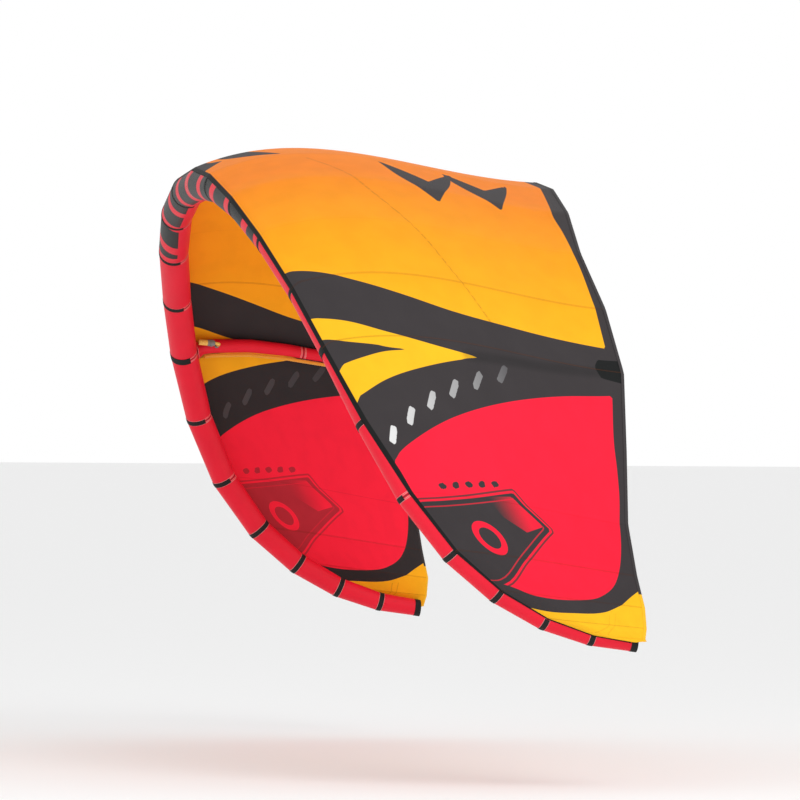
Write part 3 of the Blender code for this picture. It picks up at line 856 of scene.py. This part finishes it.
def makeHem(side):
    width = hemBuild["width"]

    def place(x, y):
        v = max(x * clothEnd, 0.002)
        a, b, t = panelOf(v)
        spots = []
        for rib in (a, b):
            back = (rib["trailing"] - skinPoint(rib, 0.9, 0)).normalized()
            spots.append(rib["trailing"] + back * (y * width - hemBuild["overlap"])
                         + rib["normal"] * hemBuild["raised"])
        return bothSides(spots[0].lerp(spots[1], t), sideSigns[side])

    bm, order = mappedGrid(hemBuild["columns"], 3, place, lambda x, y: (x * spanTotal, y * width))
    bmesh.ops.recalc_face_normals(bm, faces=bm.faces[:])
    piece = finishPiece(bm, f"trailingHem_{side}", hemFinish)
    writeValues(piece.data, "station", [x * clothEnd for x, y in order])
    thicken(piece, hemBuild["wall"], 0.0)
    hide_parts(f"trailing_hem_{side}")


tubeEndBuild = {"set": 0.0015, "inset": 0.0016, "colour": (0.85, 0.33, 0.02)}


def makeTubeEnd(side):
    rib, sign = ribs[panelCount], sideSigns[side]
    inner = rib["centre"] - rib["tangent"] * tubeEndBuild["set"]
    bm = bmesh.new()
    bmesh.ops.create_circle(bm, cap_ends=True, cap_tris=True, segments=40,
                            radius=rib["radius"] - tubeEndBuild["inset"])
    turn = Matrix((rib["aft"], rib["normal"], rib["tangent"])).transposed()
    for vert in bm.verts:
        vert.co = bothSides(inner + turn @ vert.co, sign)
    bmesh.ops.recalc_face_normals(bm, faces=bm.faces[:])
    outward = bothSides(rib["tangent"], sign)
    for face in bm.faces:
        if face.normal.dot(outward) < 0:
            face.normal_flip()
    finish = makeMouldedFinish(f"tubeEnd_{side}", tubeEndBuild["colour"], 0.4, 300.0, 0.0003)
    piece = finishPiece(bm, f"tubeEnd_{side}", finish)


for sideName in sideSigns:
    makePads(sideName)
    makeTubeEnd(sideName)
    makeCollar(sideName)
    makeHem(sideName)


capBuild = {"share": 0.995, "start": 0.0006, "depth": 0.019}


def makeCap(name, rib, sign):
    centre, radius, along, across, up = strutFrame(rib, strutBuild["end"])
    bm = bmesh.new()
    bmesh.ops.create_uvsphere(bm, u_segments=32, v_segments=16, radius=1.0)
    bmesh.ops.delete(bm, geom=[vert for vert in bm.verts if vert.co.z < -1e-4], context="VERTS")
    bmesh.ops.contextual_create(bm, geom=[edge for edge in bm.edges if edge.is_boundary])
    uv = bm.loops.layers.uv.new("cloth")
    for face in bm.faces:
        for loop in face.loops:
            loop[uv].uv = (loop.vert.co.x * radius, loop.vert.co.y * radius)
    for vert in bm.verts:
        x, y, z = vert.co
        spot = centre + (across * x + up * y) * radius * capBuild["share"]
        vert.co = bothSides(spot + along * (capBuild["start"] + z * capBuild["depth"]), sign)
    bmesh.ops.recalc_face_normals(bm, faces=bm.faces[:])
    piece = finishPiece(bm, f"strutCap_{name}", trimFinish)
    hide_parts(f"strut_cap_{name}")


for strutName, (strutRib, strutSign) in strutPlaces.items():
    makeCap(strutName, strutRib, strutSign)
print("trim made")


# grab ropes, four strands laid together
ropeBuild = {"radius": 0.0095, "strand": 0.0050, "angle": 48, "pitch": 0.050, "strands": 4,
             "step": 0.005, "clear": 0.0127, "low": (0.78, 0.30, 0.020), "high": (0.90, 0.42, 0.045)}


def makeRopeFinish():
    mat, tree, shader = newFinish("braidedRope", 0.72, sheen=0.25)
    where = addNode(tree, "ShaderNodeTexCoord")
    fibre = addNode(tree, "ShaderNodeTexNoise")
    fibre.inputs["Scale"].default_value, fibre.inputs["Detail"].default_value = 420.0, 3.0
    tree.links.new(where.outputs["Object"], fibre.inputs["Vector"])
    mottled = remap(tree, fibre.outputs[0], 0.35, 0.65)
    colour = mixColour(tree, mottled, ropeBuild["low"], ropeBuild["high"])
    tree.links.new(colour, shader.inputs["Base Color"])
    addBump(tree, shader, fibre.outputs[0], 0.0006, 0.5)
    return mat


ropeFinish = makeRopeFinish()


def makeRope(side):
    rib, sign = strutPlaces[side]
    reach, angle = ropeBuild["radius"] - ropeBuild["strand"], math.radians(ropeBuild["angle"])
    spots, lengths = [], [0.0]
    for t in strutRows(rib)[1:-1]:
        centre, radius, along, across, up = strutFrame(rib, t)
        out = across if across.dot(rib["tangent"]) > 0 else -across
        offset = (out * math.sin(angle) - up * math.cos(angle)) * (radius + ropeBuild["clear"])
        spots.append((centre + offset, out, up))
    curve = bpy.data.curves.new(f"grabRope_{side}", "CURVE")
    curve.dimensions, curve.bevel_depth, curve.bevel_resolution = "3D", ropeBuild["strand"], 2
    curve.use_fill_caps = True
    for (a, _, _), (b, _, _) in zip(spots, spots[1:]):
        lengths.append(lengths[-1] + (b - a).length)
    count = int(lengths[-1] / ropeBuild["step"])
    for strand in range(ropeBuild["strands"]):
        spline = curve.splines.new("POLY")
        spline.points.add(count)
        for number in range(count + 1):
            at = lengths[-1] * (0.004 + 0.992 * number / count)
            i = max(k for k in range(len(lengths) - 1) if lengths[k] <= at + 1e-9)
            t = (at - lengths[i]) / (lengths[i + 1] - lengths[i])
            turn = 2 * math.pi * (at / ropeBuild["pitch"] + strand / ropeBuild["strands"])
            middle, out, up = spots[i][0].lerp(spots[i + 1][0], t), *spots[i][1:]
            spot = middle + (out * math.cos(turn) + up * math.sin(turn)) * reach
            spline.points[number].co = (*bothSides(spot, sign), 1)
    curve.materials.append(ropeFinish)
    piece = bpy.data.objects.new(f"grabRope_{side}", curve)
    bpy.context.scene.collection.objects.link(piece)
    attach(piece, "kite")
    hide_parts(f"grab_rope_{side}")


makeRope("left")
makeRope("right")


# finishes of the parts that keep their own solid
solidFinishes = {
    "hoseRubber": {"colour": (0.92, 0.60, 0.13), "roughness": 0.38, "grain": 260.0, "depth": 0.0003,
                   "parts": ("hose_wide", "hose_narrow")},
    "fittingPlastic": {"colour": (0.24, 0.255, 0.255), "roughness": 0.45, "grain": 700.0, "depth": 0.0003,
                       "parts": ("hose_lock", "hose_elbow", "inflate_valve", "deflate_valve")},
    "bladderFilm": {"colour": (0.80, 0.30, 0.04), "roughness": 0.30, "grain": 60.0, "depth": 0.0008,
                    "parts": ("le_bladder", "strut_bladder")},
}
for finishName, look in solidFinishes.items():
    finish = makeMouldedFinish(finishName, *(look[k] for k in ("colour", "roughness", "grain", "depth")))
    for nodeName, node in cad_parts.items():
        if nodeName.startswith(look["parts"]):
            node.data.materials.clear()
            node.data.materials.append(finish)
print("solid parts finished")


# floor and light
studio = {"floor": -2.75, "size": 240, "world": 0.90, "paleness": 0.94}


def addLight(name, place, size, energy, towards=(0, 0.8, -1.0)):
    data = bpy.data.lights.new(name, "AREA")
    data.shape, data.size, data.energy = "DISK", size, energy
    light = bpy.data.objects.new(name, data)
    bpy.context.scene.collection.objects.link(light)
    light.location = place
    light.rotation_euler = (Vector(towards) - Vector(place)).to_track_quat("-Z", "Y").to_euler()


def makeStudio():
    bm = bmesh.new()
    bmesh.ops.create_grid(bm, x_segments=1, y_segments=1, size=studio["size"] / 2)
    for vert in bm.verts:
        vert.co.z = studio["floor"]
    mesh = bpy.data.meshes.new("floor")
    bm.to_mesh(mesh)
    bm.free()
    floor = bpy.data.objects.new("floor", mesh)
    bpy.context.scene.collection.objects.link(floor)
    mat, tree, shader = newFinish("floor", 1.0, specular=0.5)
    shader.inputs["Base Color"].default_value = (*[studio["paleness"]] * 3, 1)
    mesh.materials.append(mat)
    world = bpy.data.worlds.new("studio")
    world.use_nodes = True
    sky = world.node_tree
    sky.nodes["Background"].inputs[0].default_value = (1, 1, 1, 1)
    seen = addNode(sky, "ShaderNodeLightPath").outputs["Is Camera Ray"]    # the backdrop shows white
    strength = calc(sky, "MULTIPLY_ADD", seen, 1 - studio["world"], studio["world"])
    sky.links.new(strength, sky.nodes["Background"].inputs[1])
    bpy.context.scene.world = world
    bpy.context.scene.view_settings.view_transform = "Standard"
    addLight("key", (10, 3, 6), 5, 300)
    addLight("fill", (9, -7, 1), 6, 90)


makeStudio()
